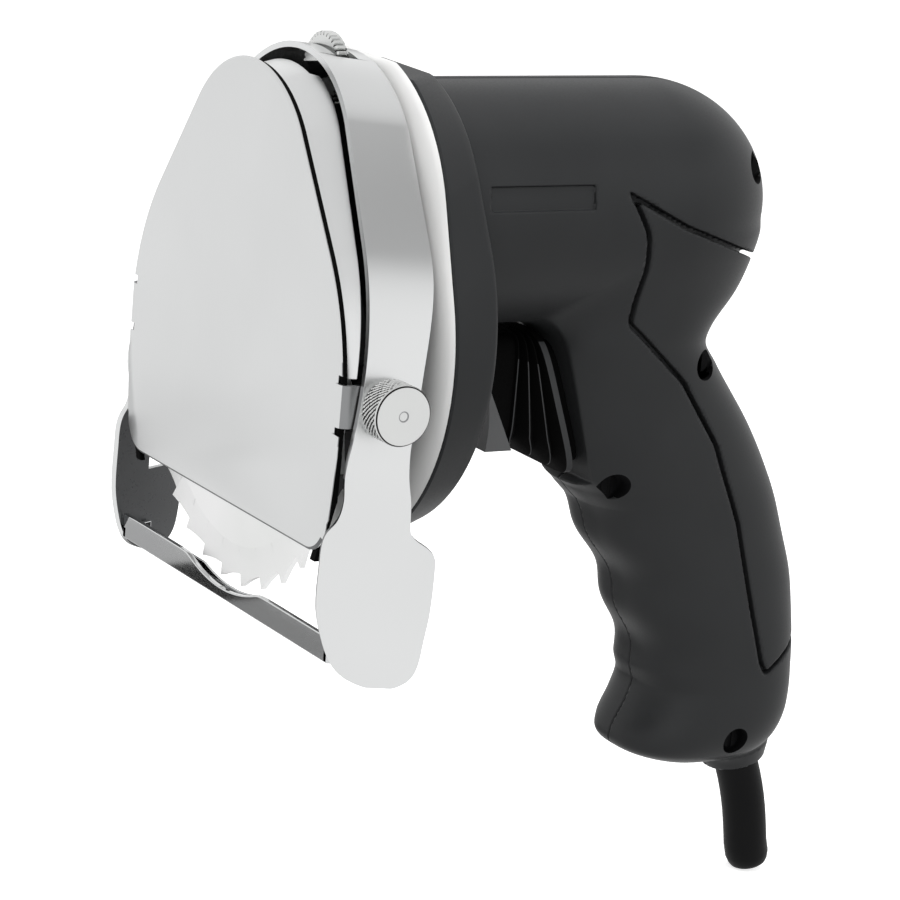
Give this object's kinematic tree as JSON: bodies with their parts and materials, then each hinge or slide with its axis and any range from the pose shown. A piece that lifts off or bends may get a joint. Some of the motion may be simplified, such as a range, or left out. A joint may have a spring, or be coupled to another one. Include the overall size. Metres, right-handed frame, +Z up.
{
  "type": "electric kebab slicer",
  "caption": "Hand-held electric kebab slicer: toothed round blade under an arched steel cover, tilting guard strap with side shoes and depth bar, black pistol grip with trigger.",
  "frame": {"origin": "on the blade axis, on the front face of the blade cover", "axes": "+X back along the motor barrel, parallel to the blade axis; +Y towards the side with the pivot screw, away from the knob; +Z up, from the depth bar to the thickness wheel"},
  "size_m": [0.1742, 0.1298, 0.2244],
  "materials": {
    "satin_steel": "satin sheet stainless steel",
    "polished_steel": "polished stainless steel",
    "blade_steel": "ground blade steel",
    "plain_steel": "plain machined steel",
    "pale_enamel": "pale enamel on cast aluminium",
    "dark_casting": "black painted casting",
    "brass": "plain brass",
    "copper": "plain copper",
    "carbon": "matt carbon",
    "rubber": "matt black rubber",
    "black_plastic": "satin black moulded plastic",
    "inner_plastic": "plain black plastic"
  },
  "bodies": {
    "body": {"blade_cover": "satin_steel", "pivot_screw": "satin_steel", "wheel_stud": "satin_steel", "blade_band": "polished_steel", "band_screw_1": "plain_steel", "band_screw_2": "plain_steel", "front_spindle_bearing": "plain_steel", "front_motor_bearing": "plain_steel", "rear_motor_bearing": "plain_steel", "field_core": "plain_steel", "trigger_spring": "plain_steel", "shell_screw_1": "plain_steel", "shell_screw_2": "plain_steel", "shell_screw_3": "plain_steel", "panel_screw": "plain_steel", "head_screw_1": "plain_steel", "head_screw_2": "plain_steel", "head_screw_3": "plain_steel", "head_screw_4": "plain_steel", "gear_housing": "pale_enamel", "blade_carrier": "dark_casting", "rear_spindle_bush": "brass", "brush_holder_left": "brass", "brush_holder_right": "brass", "field_coil_front": "copper", "field_coil_rear": "copper", "brush_left": "carbon", "brush_right": "carbon", "cover_gasket": "rubber", "trigger_bellows": "rubber", "cord_boot": "rubber", "front_flange": "black_plastic", "handle_shell_right": "black_plastic", "handle_shell_left": "black_plastic", "grip_back_panel": "black_plastic", "rear_motor_bracket": "inner_plastic", "switch_body": "inner_plastic", "cord_clamp": "inner_plastic"},
    "blade_group": {"blade": "blade_steel", "blade_bolt": "plain_steel", "blade_spindle": "plain_steel", "drive_gear": "plain_steel"},
    "armature": {"armature_shaft": "plain_steel", "armature_core": "plain_steel", "commutator": "copper", "cooling_fan": "inner_plastic", "motor_pinion": "plain_steel"},
    "guard": {"guard_strap": "satin_steel", "depth_bar": "satin_steel"},
    "wheel_slider": {"wheel_washer": "plain_steel"},
    "wheel": {"thickness_wheel": "satin_steel"},
    "knob": {"side_knob": "satin_steel"},
    "trigger_group": {"trigger": "black_plastic"}
  },
  "joints": [
    {"name": "blade_spin", "type": "hinge", "parent": "body", "child": "blade_group", "pos_m": [0.005, 0, 0], "axis": [1, 0, 0], "continuous": true},
    {"name": "armature_spin", "type": "hinge", "parent": "body", "child": "armature", "pos_m": [0.07, 0, 0.0425], "axis": [1, 0, 0], "continuous": true},
    {"name": "guard_tilt", "type": "hinge", "parent": "body", "child": "guard", "pos_m": [0.0106, 0, 0.0071], "axis": [0, 1, 0], "range_deg": [-5.5, 0]},
    {"name": "wheel_travel", "type": "slide", "parent": "body", "child": "wheel_slider", "axis": [1, 0, 0], "range_m": [-0.0074, 0]},
    {"name": "wheel_turn", "type": "hinge", "parent": "wheel_slider", "child": "wheel", "pos_m": [0.02, 0, 0.0747], "axis": [1, 0, 0], "range_deg": [-1290, 0]},
    {"name": "knob_turn", "type": "hinge", "parent": "body", "child": "knob", "pos_m": [0.0106, -0.0613, 0.0071], "axis": [0, -1, 0], "range_deg": [0, 360]},
    {"name": "trigger_press", "type": "slide", "parent": "body", "child": "trigger_group", "axis": [1, 0, 0], "range_m": [0, 0.005], "stiffness_N_per_m": 800, "springref_m": -0.006, "deforming": ["trigger_spring", "trigger_bellows"]}
  ],
  "couplings": [
    {"joint": "armature_spin", "follows": "blade_spin", "ratio": -3.25},
    {"joint": "wheel_travel", "follows": "guard_tilt", "m_per_rad": 0.0732},
    {"joint": "wheel_turn", "follows": "guard_tilt", "ratio": 229.96}
  ]
}
